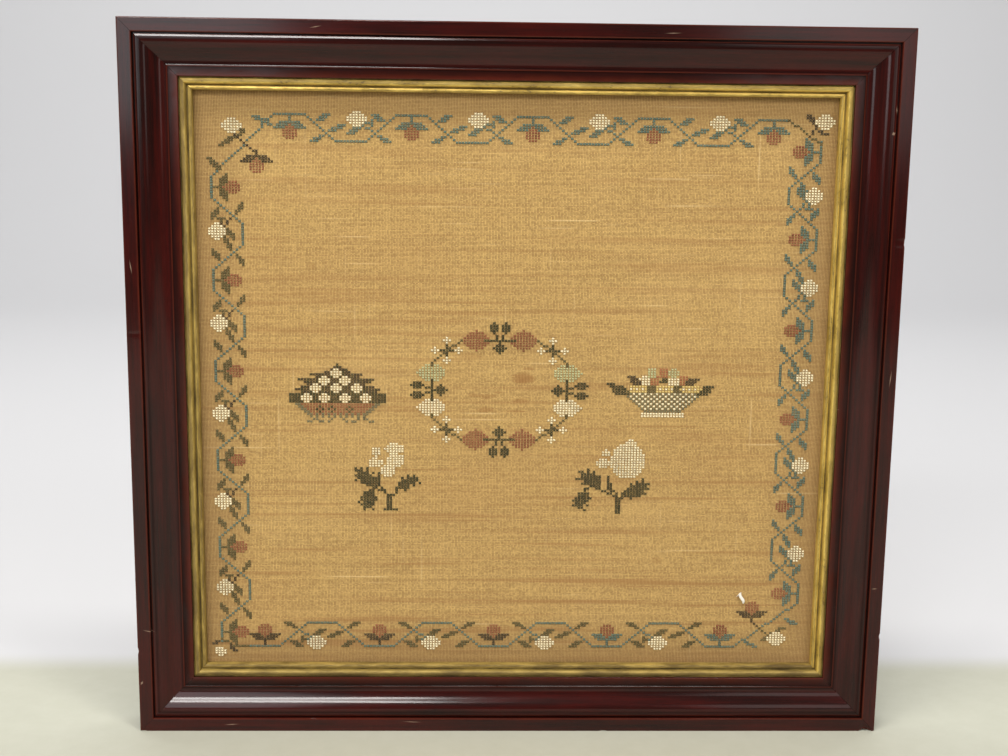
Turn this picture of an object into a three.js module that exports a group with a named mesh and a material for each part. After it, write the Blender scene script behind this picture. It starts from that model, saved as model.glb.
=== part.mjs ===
import * as THREE from 'three';

// Framed cross stitch sampler, upright on the lower edge of its frame, millimetres, +Z up, face towards -Y.
// The pieces are laid out in the plane of the face first: x to the right, y up, z out of the face, with
// z = 0 at the front of the moulding's outer strip and the middle of the frame at x = y = 0.

// Frame
const WIDTH = 480;
const HEIGHT = 451;
const DEPTH = 28;

// Rail moulding, from its outer edge inwards; drops are measured back from the front of the outer strip
const RAIL_WIDTH = 34.3;
const STRIP_WIDTH = 8.7;
const ARRIS = 0.8;
const QUIRK_WIDTH = 1.0;
const QUIRK_DROP = 3.0;
const FILLET_WIDTH = 2.4;
const FILLET_DROP = 1.5;
const OGEE_END = 27.2;
const OGEE_DROP = 6.9;
const BEAD_WIDTH = 1.4;
const BEAD_DROP = 6.2;
const BAND_DROP = 6.5;
const NOSE_RADIUS = 0.7;
const LIP_BACK = 8.6;
const REBATE_EDGE = 24.8;

// Gilt slip inside the rails
const GAP = 0.3;
const SIGHT_EDGE = 41.9;
const SLIP_BACK = 14.8;
const ROLL_WIDTH = 3.9;
const ROLL_RISE = 1.3;
const ROLL_FOOT = 10.4;
const CHANNEL_WIDTH = 0.9;
const CHANNEL_DROP = 11.2;
const LIP_DROP = 9.6;
const LIP_ROUND = 1.1;

// Linen, backboard and the sprigs that hold the board in the rebate
const LINEN_THICKNESS = 1.0;
const BOARD_THICKNESS = 5.0;
const SPRIG_LENGTH = 13;
const SPRIG_WIDTH = 2.2;
const SPRIG_POINT = 1.2;
const SPRIG_THICKNESS = 1.2;
const SPRIG_OFFSET = 0.28;

const CURVE_STEPS = 8;

const mahogany = { color: 0x3a1410, roughness: 0.3, metalness: 0 };
const gilt = { color: 0xb08a3e, roughness: 0.45, metalness: 0.6 };
const linenCloth = { color: 0xb48f5c, roughness: 0.95, metalness: 0 };
const pine = { color: 0x8a6844, roughness: 0.8, metalness: 0 };
const iron = { color: 0x3b3633, roughness: 0.6, metalness: 0.8 };

const sampler = new THREE.Group();
sampler.rotation.x = Math.PI / 2;
sampler.position.set(0, -DEPTH / 2, HEIGHT / 2);

function add(name, geometry, finish) {
  const mesh = new THREE.Mesh(geometry, new THREE.MeshStandardMaterial(finish));
  mesh.name = name;
  sampler.add(mesh);
  return mesh;
}

// Section of a wooden rail: margin from the outer edge across, height out of the face upwards
function railSection() {
  const quirk = STRIP_WIDTH + QUIRK_WIDTH;
  const ogeeStart = quirk + FILLET_WIDTH;
  const ogeeMiddle = (ogeeStart + OGEE_END) / 2;
  const s = new THREE.Shape();
  s.moveTo(0, -DEPTH);
  s.lineTo(REBATE_EDGE, -DEPTH);
  s.lineTo(REBATE_EDGE, -LIP_BACK);
  s.lineTo(RAIL_WIDTH, -LIP_BACK);
  s.lineTo(RAIL_WIDTH, -BAND_DROP - NOSE_RADIUS);
  s.quadraticCurveTo(RAIL_WIDTH, -BAND_DROP, RAIL_WIDTH - NOSE_RADIUS, -BAND_DROP);
  s.lineTo(OGEE_END + BEAD_WIDTH, -BAND_DROP);
  s.quadraticCurveTo(OGEE_END + BEAD_WIDTH / 2, 2 * -BEAD_DROP + BAND_DROP, OGEE_END, -OGEE_DROP);
  s.bezierCurveTo(ogeeMiddle, -OGEE_DROP, ogeeMiddle, -FILLET_DROP, ogeeStart, -FILLET_DROP);
  s.lineTo(quirk, -FILLET_DROP);
  s.lineTo(quirk, -QUIRK_DROP);
  s.lineTo(STRIP_WIDTH, -QUIRK_DROP);
  s.lineTo(STRIP_WIDTH, -ARRIS);
  s.quadraticCurveTo(STRIP_WIDTH, 0, STRIP_WIDTH - ARRIS, 0);
  s.lineTo(ARRIS, 0);
  s.quadraticCurveTo(0, 0, 0, -ARRIS);
  s.closePath();
  return s;
}

// Section of the gilt slip: a tongue under the rail's lip, a roll, a channel and the rounded sight lip
function slipSection() {
  const tongue = -(LIP_BACK + GAP);
  const rollStart = RAIL_WIDTH + GAP;
  const rollEnd = rollStart + ROLL_WIDTH;
  const lipStart = rollEnd + CHANNEL_WIDTH;
  const s = new THREE.Shape();
  s.moveTo(REBATE_EDGE + GAP, -SLIP_BACK);
  s.lineTo(SIGHT_EDGE, -SLIP_BACK);
  s.lineTo(SIGHT_EDGE, -LIP_DROP - LIP_ROUND);
  s.quadraticCurveTo(SIGHT_EDGE, -LIP_DROP, SIGHT_EDGE - LIP_ROUND, -LIP_DROP);
  s.quadraticCurveTo(lipStart, -LIP_DROP, lipStart, -CHANNEL_DROP);
  s.lineTo(rollEnd, -CHANNEL_DROP);
  s.lineTo(rollEnd, -ROLL_FOOT);
  s.bezierCurveTo(rollEnd, tongue + ROLL_RISE, rollStart, tongue + ROLL_RISE * 2, rollStart, tongue);
  s.lineTo(REBATE_EDGE + GAP, tongue);
  s.closePath();
  return s;
}

// A straight length of a section along x, its outer edge on y = 0 and both ends mitred at 45 degrees
function mitredLength(section, length) {
  const geometry = new THREE.ExtrudeGeometry(section, {
    depth: length,
    bevelEnabled: false,
    curveSegments: CURVE_STEPS,
  });
  const ends = geometry.attributes.position;
  const halfGap = (GAP / 2) * Math.SQRT2;
  for (let i = 0; i < ends.count; i++) {
    const margin = ends.getX(i) + halfGap;
    ends.setZ(i, ends.getZ(i) > length / 2 ? length / 2 - margin : margin - length / 2);
  }
  const along = new THREE.Vector3(1, 0, 0);
  const inwards = new THREE.Vector3(0, 1, 0);
  const outOfFace = new THREE.Vector3(0, 0, 1);
  geometry.applyMatrix4(new THREE.Matrix4().makeBasis(inwards, outOfFace, along));
  return geometry;
}

// The four sides, each turned so that its inner edge looks at the middle of the frame
const sides = [
  { side: 'bottom', turn: 0, length: WIDTH, reach: HEIGHT / 2 },
  { side: 'right', turn: 1, length: HEIGHT, reach: WIDTH / 2 },
  { side: 'top', turn: 2, length: WIDTH, reach: HEIGHT / 2 },
  { side: 'left', turn: 3, length: HEIGHT, reach: WIDTH / 2 },
];

function place(mesh, { turn, reach }) {
  const angle = (turn * Math.PI) / 2;
  mesh.rotation.z = angle;
  mesh.position.x += reach * Math.sin(angle);
  mesh.position.y -= reach * Math.cos(angle);
}

for (const side of sides) {
  place(add(`rail_${side.side}`, mitredLength(railSection(), side.length), mahogany), side);
  place(add(`slip_${side.side}`, mitredLength(slipSection(), side.length), gilt), side);
}

// Linen ground, flat behind the slip and a little short of the rebate all round
const sheetEdge = REBATE_EDGE + GAP;
const linenWidth = WIDTH - 2 * sheetEdge;
const linenHeight = HEIGHT - 2 * sheetEdge;
const linenFront = SLIP_BACK + GAP;
const linen = add('linen', new THREE.BoxGeometry(linenWidth, linenHeight, LINEN_THICKNESS), linenCloth);
linen.position.z = -linenFront - LINEN_THICKNESS / 2;

// Backboard behind the linen
const boardFront = linenFront + LINEN_THICKNESS + GAP;
const boardBack = boardFront + BOARD_THICKNESS;
const board = add('backboard', new THREE.BoxGeometry(linenWidth, linenHeight, BOARD_THICKNESS), pine);
board.position.z = -(boardFront + boardBack) / 2;

// Two cut sprigs a side, out of the rebate's wall and flat on the board, each tapered to its point
function sprigGeometry() {
  const s = new THREE.Shape();
  s.moveTo(-SPRIG_WIDTH / 2, sheetEdge);
  s.lineTo(SPRIG_WIDTH / 2, sheetEdge);
  s.lineTo(SPRIG_POINT / 2, sheetEdge + SPRIG_LENGTH);
  s.lineTo(-SPRIG_POINT / 2, sheetEdge + SPRIG_LENGTH);
  s.closePath();
  const geometry = new THREE.ExtrudeGeometry(s, { depth: SPRIG_THICKNESS, bevelEnabled: false });
  geometry.translate(0, 0, -boardBack - GAP - SPRIG_THICKNESS);
  return geometry;
}

for (const side of sides) {
  const angle = (side.turn * Math.PI) / 2;
  for (const [hand, sign] of [['a', -1], ['b', 1]]) {
    const sprig = add(`sprig_${side.side}_${hand}`, sprigGeometry(), iron);
    const along = sign * SPRIG_OFFSET * side.length;
    sprig.position.set(along * Math.cos(angle), along * Math.sin(angle), 0);
    place(sprig, side);
  }
}

export default sampler;
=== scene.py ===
import math
from functools import reduce

import bmesh
import bpy
import numpy as np
from bpy.props import FloatProperty, FloatVectorProperty, IntProperty, PointerProperty
from mathutils import Matrix, Vector, noise


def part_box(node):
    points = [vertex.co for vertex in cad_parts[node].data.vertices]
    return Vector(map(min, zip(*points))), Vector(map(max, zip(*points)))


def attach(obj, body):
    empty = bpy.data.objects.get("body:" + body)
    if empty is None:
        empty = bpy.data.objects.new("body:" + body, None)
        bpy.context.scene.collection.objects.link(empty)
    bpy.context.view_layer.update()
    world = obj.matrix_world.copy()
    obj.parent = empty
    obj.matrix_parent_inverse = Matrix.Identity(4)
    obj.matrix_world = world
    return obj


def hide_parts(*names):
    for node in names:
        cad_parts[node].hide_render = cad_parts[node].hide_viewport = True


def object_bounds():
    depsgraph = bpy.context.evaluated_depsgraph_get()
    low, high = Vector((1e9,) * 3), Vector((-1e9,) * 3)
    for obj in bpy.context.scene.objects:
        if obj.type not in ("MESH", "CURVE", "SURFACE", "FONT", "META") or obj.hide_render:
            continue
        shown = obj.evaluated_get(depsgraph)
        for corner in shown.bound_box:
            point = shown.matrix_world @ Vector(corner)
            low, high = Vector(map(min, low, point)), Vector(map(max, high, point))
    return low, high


bl_info = {
    "name": "Framed cross stitch sampler",
    "version": (1, 0, 0),
    "blender": (4, 5, 0),
    "location": "View3D > Sidebar > Sampler",
    "description": "Builds an old linen sampler in its mahogany frame with a gilt slip",
    "category": "Object",
}

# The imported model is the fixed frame, and every size below is in metres unless it says otherwise
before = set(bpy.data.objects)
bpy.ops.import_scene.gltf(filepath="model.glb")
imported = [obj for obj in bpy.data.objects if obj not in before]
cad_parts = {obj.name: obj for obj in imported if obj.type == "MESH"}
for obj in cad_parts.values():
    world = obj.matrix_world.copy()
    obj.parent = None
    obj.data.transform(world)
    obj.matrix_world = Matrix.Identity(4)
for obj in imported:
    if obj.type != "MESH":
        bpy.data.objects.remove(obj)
cad_low, cad_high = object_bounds()
MM = 0.001
WIDTH, DEPTH, HEIGHT = cad_high - cad_low
SIDES = ("bottom", "right", "top", "left")

# The rail's moulding, in millimetres: how far from the outer edge, and how far behind the front
RAIL_WIDTH = 34.3
STRIP_WIDTH = 8.7
ARRIS = 0.8
QUIRK_WIDTH = 1.0
QUIRK_DROP = 3.0
FILLET_WIDTH = 2.4
FILLET_DROP = 1.5
OGEE_END = 27.2
OGEE_DROP = 6.9
BEAD_WIDTH = 1.4
BEAD_DROP = 6.2
BAND_DROP = 6.5
NOSE_RADIUS = 0.7
LIP_BACK = 8.6
REBATE_EDGE = 24.8

# The gilt slip's moulding, in the same millimetres
FITTING_GAP = 0.3
SIGHT_EDGE = 41.9
SLIP_BACK = 14.8
ROLL_RISE = 1.3
ROLL_FOOT = 10.4
CHANNEL_WIDTH = 0.9
CHANNEL_DROP = 11.2
LIP_DROP = 9.6
LIP_ROUND = 1.1

# The linen's count: a cross covers two threads each way
CROSS_WIDTH = 1.865 * MM
CROSS_HEIGHT = 1.60 * MM
WARP_PITCH = CROSS_WIDTH / 2
WEFT_PITCH = CROSS_HEIGHT / 2

SEED = 1838


# Each number of a material is a Value, and each material is a Finish

class Value:
    """A number socket of a shader: Python's operators on it add Math nodes."""

    def __init__(self, finish, socket):
        self.finish = finish
        self.socket = socket

    def math(self, operation, *others, clamp=False):
        return self.finish.math(operation, self, *others, clamp=clamp)

    def __add__(self, other):
        return self.math("ADD", other)

    def __sub__(self, other):
        return self.math("SUBTRACT", other)

    def __rsub__(self, other):
        return self.finish.math("SUBTRACT", other, self)

    def __mul__(self, other):
        return self.math("MULTIPLY", other)

    def __truediv__(self, other):
        return self.math("DIVIDE", other)

    def __abs__(self):
        return self.math("ABSOLUTE")

    __radd__ = __add__
    __rmul__ = __mul__

    def clamp(self):
        return self.math("ADD", 0.0, clamp=True)

    def most(self, other):
        return self.math("MAXIMUM", other)

    def floor(self):
        return self.math("FLOOR")

    def part(self):
        return self.math("FRACT")

    def cos(self):
        return self.math("COSINE")

    def step(self, low, high):
        """0 below low, 1 above high, and smooth between."""
        smooth = {"interpolation_type": "SMOOTHSTEP"}
        return self.finish.node("MapRange", smooth, {0: self, 1: low, 2: high})


class Finish:
    """One material: node() makes any node, and the other methods are common cases of it."""

    def __init__(self, name, roughness=0.5, **constants):
        self.material = bpy.data.materials.new(name)
        self.material.use_nodes = True
        self.tree = self.material.node_tree
        self.shader = self.tree.nodes["Principled BSDF"]
        self.set("Roughness", roughness)
        for socket, constant in constants.items():
            self.set(socket.replace("_", " ").title().replace("Ior", "IOR"), constant)

    def set(self, socket, value):
        self.feed(self.shader.inputs[socket], value)

    def feed(self, socket, value):
        """Links a value, or sets a constant; a colour in a tuple is 0 to 255, as a screen shows it."""
        if isinstance(value, Value):
            self.tree.links.new(value.socket, socket)
        elif socket.type == "RGBA":
            shade = linear(*value) if isinstance(value, tuple) else value
            socket.default_value = (*shade, 1.0)
        else:
            socket.default_value = value

    def node(self, kind, settings=None, inputs=None, output=0):
        """Adds a node: its settings first, then the values or links of its sockets."""
        made = self.tree.nodes.new("ShaderNode" + kind)
        for key, value in (settings or {}).items():
            setattr(made, key, value)
        for key, value in (inputs or {}).items():
            self.feed(made.inputs[key], value)
        return Value(self, made.outputs[output])

    def math(self, operation, *inputs, clamp=False):
        return self.node("Math", {"operation": operation, "use_clamp": clamp}, dict(enumerate(inputs)))

    def place(self):
        """Object coordinates."""
        return self.node("TexCoord", output="Object")

    def attribute(self, name, output="Fac"):
        return self.node("Attribute", {"attribute_name": name}, output=output)

    def split(self, vector):
        made = self.node("SeparateXYZ", inputs={0: vector}).socket.node
        return [Value(self, made.outputs[axis]) for axis in range(3)]

    def join(self, x, y, z=0.0):
        return self.node("CombineXYZ", inputs={0: x, 1: y, 2: z})

    def stretched(self, vector, scale, offset=(0.0, 0.0, 0.0)):
        return self.node("Mapping", inputs={"Vector": vector, "Scale": scale, "Location": offset})

    def noise(self, vector, scale=1.0, offset=(0.0, 0.0, 0.0), detail=2.0, rough=0.5, twist=0.0):
        """Noise on a vector, with one scale for it all or one for each axis."""
        if isinstance(scale, tuple):
            vector, scale = self.stretched(vector, scale, offset), 1.0
        return self.node("TexNoise", None, {
            "Vector": vector, "Scale": scale, "Detail": detail, "Roughness": rough,
            "Distortion": twist})

    def random(self, vector):
        """A number that is random for each whole number of the vector."""
        return self.node("TexWhiteNoise", {"noise_dimensions": "3D"}, {"Vector": vector})

    def mix(self, first, second, share):
        """Two colours mixed."""
        return self.node("Mix", {"data_type": "RGBA"}, {0: share, 6: first, 7: second}, output=2)

    def coats(self, body, *coats):
        """Lays colours over a body colour one after another, each with its share."""
        for colour, share in coats:
            body = self.mix(body, colour, share)
        return body

    def bump(self, height, distance, strength=1.0):
        self.set("Normal", self.node("Bump", None, {
            "Height": height, "Distance": distance, "Strength": strength}))


def linear(red, green, blue):
    """A colour given as a screen shows it, 0 to 255, as linear light."""
    shown = (red / 255, green / 255, blue / 255)
    return tuple(c / 12.92 if c <= 0.04045 else ((c + 0.055) / 1.055) ** 2.4 for c in shown)


def colour_property(name, red, green, blue):
    return FloatVectorProperty(
        name=name, description=f"{name}, before wear and light change it", subtype="COLOR",
        default=linear(red, green, blue), min=0.0, max=1.0)


def length_property(name, description, millimetres):
    return FloatProperty(
        name=name, description=description, default=millimetres * MM, unit="LENGTH", min=0.0)


# Meshes become pieces through these functions

def placed(name, data):
    """Puts a mesh, a light or a camera into the scene."""
    made = bpy.data.objects.new(name, data)
    bpy.context.scene.collection.objects.link(made)
    return made


def meshed(bm, name):
    """Turns a bmesh into a mesh, with its faces turned outwards."""
    bmesh.ops.recalc_face_normals(bm, faces=bm.faces)
    mesh = bpy.data.meshes.new(name)
    bm.to_mesh(mesh)
    bm.free()
    return mesh


def joined(name, points, faces):
    """One mesh from a list of arrays of points, and faces that count through all of them."""
    mesh = bpy.data.meshes.new(name)
    mesh.from_pydata(np.concatenate(points).tolist(), [], faces)
    return mesh


def dressed(mesh, name, material, slot=None, stands_for=(), smooth=40.0):
    """Makes a mesh a piece that rides on the one body, with its edges past an angle kept sharp."""
    mesh.shade_smooth()
    mesh.set_sharp_from_angle(angle=math.radians(smooth))
    mesh.materials.append(material)
    piece = placed(name, mesh)
    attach(piece, "root")
    if stands_for:
        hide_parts(*stands_for)
    return piece


def point_values(mesh, name, values):
    """Keeps one number, or one vector, for each vertex as an attribute."""
    values = np.asarray(values, np.float32)
    kind, key = ("FLOAT_VECTOR", "vector") if values.ndim == 2 else ("FLOAT", "value")
    mesh.attributes.new(name, kind, "POINT").data.foreach_set(key, values.ravel())


def long_edges(bm, axis, least):
    """The edges that run further along an axis than the least length."""
    return [e for e in bm.edges if abs(e.verts[0].co[axis] - e.verts[1].co[axis]) > least]


def rod(sides, rings):
    """A closed rod along Z, one unit across and one long, with rings between its ends."""
    bm = bmesh.new()
    bmesh.ops.create_cone(bm, cap_ends=True, segments=sides, radius1=0.5, radius2=0.5, depth=1)
    bmesh.ops.subdivide_edges(bm, edges=long_edges(bm, 2, 0.5), cuts=rings, use_grid_fill=True)
    return bm


def bezier(start, first, second, end, steps):
    """The points between the ends of a cubic curve, the ends left out."""
    points = [np.array(p, float) for p in (start, first, second, end)]
    made = []
    for step in range(1, steps):
        t = step / steps
        shares = ((1 - t) ** 3, 3 * t * (1 - t) ** 2, 3 * t * t * (1 - t), t**3)
        made.append((*sum(s * p for s, p in zip(shares, points)), 0.0))
    return made


# A corner is (margin from the outer edge, drop behind the front, radius that it is rounded to)
FILLET_START = STRIP_WIDTH + QUIRK_WIDTH
OGEE_START = FILLET_START + FILLET_WIDTH
OGEE_MIDDLE = (OGEE_START + OGEE_END) / 2
BEAD_END = OGEE_END + BEAD_WIDTH
# The slope of the two facets that shine along the top rail
SHINE_SLOPE = math.tan(math.radians(16.5))
BEAD_SLOPE = math.tan(math.radians(17.5))
RAIL_CORNERS = [
    (0.0, 0.0, ARRIS),
    (0.0, 4.0, 0.0),
    (0.0, 10.0, 0.0),
    (0.0, 18.0, 0.0),
    (0.0, DEPTH / MM, 0.6),
    (REBATE_EDGE, DEPTH / MM, 0.5),
    (REBATE_EDGE, LIP_BACK, 0.2),
    (RAIL_WIDTH, LIP_BACK, 0.2),
    (RAIL_WIDTH, BAND_DROP, NOSE_RADIUS),
    (BEAD_END, BAND_DROP, 0.0),
    (OGEE_END + BEAD_WIDTH * 0.84, BEAD_DROP + 0.06, 0.0),
    (OGEE_END + BEAD_WIDTH * 0.64, BEAD_DROP + 0.08, 0.0),
    (OGEE_END, BEAD_DROP + 0.08 + BEAD_WIDTH * 0.64 * BEAD_SLOPE, 0.0),
    (OGEE_END, OGEE_DROP, 0.0),
    *bezier((OGEE_END, OGEE_DROP), (OGEE_MIDDLE, OGEE_DROP), (OGEE_MIDDLE, FILLET_DROP),
            (OGEE_START, FILLET_DROP), 14),
    (OGEE_START, FILLET_DROP, 0.0),
    (FILLET_START + 1.3, FILLET_DROP, 0.0),
    (FILLET_START + 0.3, FILLET_DROP + SHINE_SLOPE, 0.0),
    (FILLET_START, FILLET_DROP + 1.3 * SHINE_SLOPE, 0.1),
    (FILLET_START, QUIRK_DROP, 0.25),
    (STRIP_WIDTH, QUIRK_DROP, 0.25),
    (STRIP_WIDTH, 0.0, ARRIS),
    (STRIP_WIDTH - 1.5, 0.0, 0.0),
    (1.5, 0.0, 0.0),
]
SLIP_OUTER = REBATE_EDGE + FITTING_GAP
LIP_START = SIGHT_EDGE - 2.5
ROLL_END = LIP_START - CHANNEL_WIDTH
ROLL_START = RAIL_WIDTH + FITTING_GAP
TONGUE_DROP = LIP_BACK + FITTING_GAP
SLIP_CORNERS = [
    (SLIP_OUTER, SLIP_BACK, 0.2),
    (SIGHT_EDGE, SLIP_BACK, 0.2),
    (SIGHT_EDGE, LIP_DROP + LIP_ROUND, 0.0),
    (SIGHT_EDGE - 0.35, LIP_DROP + 0.35, 0.0),
    (SIGHT_EDGE - LIP_ROUND, LIP_DROP, 0.0),
    (LIP_START + 0.35, LIP_DROP + 0.4, 0.0),
    (LIP_START, CHANNEL_DROP, 0.15),
    (ROLL_END, CHANNEL_DROP, 0.15),
    (ROLL_END, ROLL_FOOT, 0.0),
    *bezier((ROLL_END, ROLL_FOOT), (ROLL_END, TONGUE_DROP - 2.3 * ROLL_RISE),
            (ROLL_START + 0.6, TONGUE_DROP - 0.7 * ROLL_RISE), (ROLL_START, TONGUE_DROP), 9),
    (ROLL_START, TONGUE_DROP, 0.0),
    (SLIP_OUTER, TONGUE_DROP, 0.2),
]

# Knocks on each side: place along it, margin, drop, radius and depth, in millimetres
KNOCKS = {
    "bottom": [
        (233.0, 0.2, 1.0, 3.2, 1.7), (236.2, 0.4, 0.5, 1.8, 0.9), (-238.2, 0.6, 0.4, 2.4, 0.5),
        (-128.0, STRIP_WIDTH, 0.2, 2.0, 0.35), (61.0, 0.2, 0.3, 2.6, 0.4)],
    "right": [(-160.0, 0.3, 0.3, 2.2, 0.5), (96.0, 0.2, 0.2, 3.0, 0.4)],
    "left": [(171.0, 0.2, 0.3, 2.4, 0.5), (-35.0, STRIP_WIDTH, 0.1, 2.0, 0.3)],
    "top": [],
}
# Where an old gilt edge is bruised, measured the same way
BRUISES = {
    "bottom": [
        (-74.0, 36.3, 7.8, 2.6, 0.5), (-186.0, 37.5, 8.0, 3.0, 0.4), (24.0, 41.0, 9.8, 2.2, 0.5),
        (110.0, 40.6, 9.7, 2.6, 0.4)],
    "left": [(60.0, 36.5, 7.8, 2.4, 0.35), (-120.0, 41.0, 9.8, 2.4, 0.4)],
    "right": [(40.0, 41.2, 9.8, 2.0, 0.4), (-90.0, 36.0, 7.9, 2.8, 0.35)],
    "top": [(90.0, 41.0, 9.7, 2.4, 0.35)],
}


def rounded(bm, corners, reach):
    """Rounds the long edges that start at the section's corners."""
    for margin, drop, radius in corners:
        if radius <= 0:
            continue
        spot = Vector((drop * MM - DEPTH / 2, margin * MM - reach))
        edges = [e for e in long_edges(bm, 0, reach / 2) if (e.verts[0].co.yz - spot).length < 1e-6]
        bmesh.ops.bevel(
            bm, geom=edges, offset=radius * MM * 0.75, offset_type="OFFSET", segments=3,
            profile=0.5, affect="EDGES", material=-1, clamp_overlap=True)


def cut(bm, place, normal, clear=False):
    """Cuts everything along a plane, and clears what lies beyond it if that is asked."""
    bmesh.ops.bisect_plane(
        bm, geom=[*bm.verts, *bm.edges, *bm.faces], dist=1e-7, clear_outer=clear,
        plane_co=place, plane_no=normal)


def moulding(side, corners, knocks, sway):
    """A mitred length of moulding for one side, and where each vertex is along and across it."""
    number = SIDES.index(side)
    length, reach = (WIDTH, HEIGHT / 2) if number % 2 == 0 else (HEIGHT, WIDTH / 2)
    bm = bmesh.new()
    section = bm.faces.new([
        bm.verts.new((-length / 2 - MM, drop * MM - DEPTH / 2, margin * MM - reach))
        for margin, drop, _ in corners
    ])
    grown = bmesh.ops.extrude_face_region(bm, geom=[section])["geom"]
    far = [v for v in grown if isinstance(v, bmesh.types.BMVert)]
    bmesh.ops.translate(bm, verts=far, vec=(length + 2 * MM, 0, 0))
    rounded(bm, corners, reach)
    rings = round(length / sizes().moulding_step)
    bmesh.ops.subdivide_edges(
        bm, edges=long_edges(bm, 0, length / 2), cuts=rings, use_grid_fill=True)
    for place, _, _, radius, _ in knocks[side]:
        for step in np.arange(-radius, radius + 0.01, radius / 4):
            cut(bm, ((place + step) * MM, 0, 0), (1, 0, 0))
    for end in (-1, 1):
        mitre = end * (length / 2 - sizes().mitre_gap * 0.7)
        cut(bm, (mitre, 0, -reach), (end, 0, 1), clear=True)
    rim = [e for e in bm.edges if e.is_boundary]
    caps = bmesh.ops.holes_fill(bm, edges=rim, sides=0)["faces"]
    bmesh.ops.triangulate(bm, faces=caps)
    mesh = meshed(bm, "moulding_" + side)
    spots = np.array([v.co[:] for v in mesh.vertices])
    local = np.stack([spots[:, 0], spots[:, 2] + reach, spots[:, 1] + DEPTH / 2], axis=1)
    spots += unevenness(local, number, sway) + knocked(local / MM, knocks[side])
    mesh.vertices.foreach_set("co", spots.astype(np.float32).ravel())
    turn = Matrix.Rotation(-math.pi / 2 * number, 4, "Y")
    mesh.transform(Matrix.Translation((0, 0, HEIGHT / 2)) @ turn)
    mesh.update()
    point_values(mesh, "along_grain", local + np.array([number * 1.7, 0, 0]))
    return mesh, local


def unevenness(local, number, sway):
    """A hand-planed waver along the length, none of it on the back or the outer edges."""
    made = np.zeros_like(local)
    front = np.clip(1 - local[:, 2] / (20 * MM), 0, 1) * np.clip(local[:, 1] / (3 * MM), 0, 1)
    for axis, offset in ((1, 0.0), (2, 40.0)):
        waver = [noise.noise((u * 11, number * 7 + offset, m * 40)) for u, m, _ in local]
        made[:, axis] = np.array(waver) * sway * front
    return made


def knocked(local, marks):
    """Pushes the surface in around each knock: backwards, and inwards too on the outer edge."""
    made = np.zeros_like(local)
    for place, margin, drop, radius, depth in marks:
        apart = local - np.array([place, margin, drop])
        apart[:, 2] *= 0.35 if margin < 1 else 1.0
        away = np.linalg.norm(apart, axis=1) / radius
        for index in np.flatnonzero(away < 1):
            ragged = 1 + 0.6 * noise.noise(Vector(local[index]) * 1.9)
            push = depth * MM * (1 - away[index]) ** 0.6 * ragged
            made[index] += (0, push * 0.6, push if margin < 1 else 0)
    return made


def closeness(local, spots, radius):
    """How near each vertex is to any of these section points, 1 at the point."""
    across = local[:, 1:] / MM
    apart = [np.hypot(across[:, 0] - margin, across[:, 1] - drop) for margin, drop in spots]
    return np.exp(-((np.min(apart, axis=0) / radius) ** 2))


# Pale scratches and bruises in the polish: middle, half length and width (mm), angle (degrees)
POLISH_MARKS = [
    (-232.5, 68.0, 4.2, 0.35, -12), (-238.0, 33.0, 1.6, 0.8, 60), (234.2, 98.0, 2.2, 0.4, 4),
    (229.2, 388.0, 1.4, 1.2, 30), (230.5, 402.0, 0.7, 3.4, 4), (-181.0, 4.6, 5.5, 0.3, 3),
    (-64.0, 6.4, 7.0, 0.25, -2), (92.0, 445.8, 6.0, 0.25, 2), (-236.0, 302.0, 0.35, 5.0, 8),
    (236.2, 236.0, 0.3, 6.0, -5), (-122.0, 446.5, 4.0, 0.3, 10), (205.0, 214.0, 2.5, 0.25, 35),
]


def polish_marks(wood, place):
    """1 on each of the marks of the polish, and 0 away from them."""
    x, _, z = wood.split(place)
    marks = []
    for across, up, long, wide, angle in POLISH_MARKS:
        c, s = math.cos(math.radians(angle)), math.sin(math.radians(angle))
        u, v = x - across * MM, z - up * MM
        away = abs(u * c + v * s) / (long * MM) + abs(v * c - u * s) / (wide * MM)
        marks.append(1 - away.step(0.6, 1.1))
    return reduce(Value.most, marks)


class SamplerColours(bpy.types.PropertyGroup):
    """The colours that a user would change."""

    mahogany: colour_property("Mahogany", 58, 9, 5)
    mahogany_dark: colour_property("Dark mahogany figure", 28, 5, 3)
    gilding: colour_property("Gilding", 222, 190, 98)
    bole: colour_property("Rubbed gilding", 92, 66, 22)
    linen: colour_property("Linen", 194, 157, 90)
    linen_brown: colour_property("Browned linen", 130, 94, 44)
    teal: colour_property("Teal thread", 84, 106, 94)
    olive: colour_property("Olive thread", 84, 76, 42)
    moss: colour_property("Dark green thread", 42, 46, 18)
    brown: colour_property("Brown thread", 54, 43, 24)
    cream: colour_property("Cream thread", 246, 234, 196)
    rose: colour_property("Rose thread", 140, 74, 50)
    rust: colour_property("Terracotta thread", 166, 96, 62)
    sage: colour_property("Sage thread", 188, 190, 142)
    straw: colour_property("Straw thread", 224, 196, 118)
    slate: colour_property("Slate thread", 104, 100, 72)
    board: colour_property("Backboard", 150, 112, 70)
    iron: colour_property("Sprig iron", 70, 62, 56)


class SamplerSizes(bpy.types.PropertyGroup):
    """The sizes that a user would change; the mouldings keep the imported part's."""

    mitre_gap: length_property("Mitre gap", "How far the mitres have opened", 0.16)
    waver: length_property("Rail waver", "How far the planed mouldings waver", 0.14)
    strand_width: length_property("Strand width", "Width of a dark stitch's thread", 0.80)
    fine_width: length_property("Fine strand width", "Width of a pale stitch's thread", 0.60)
    hole_width: length_property("Needle hole", "Width of the gaps at a cross's corners", 0.84)
    strand_height: length_property("Strand height", "Thickness of a stitch's thread", 0.36)
    weave_depth: length_property("Weave depth", "How deep the linen's threads are", 0.30)
    moulding_step: length_property("Moulding step", "Length between a moulding's rings", 3.0)
    seed: IntProperty(name="Seed", description="Seed of all random draws", default=SEED, min=0)


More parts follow.
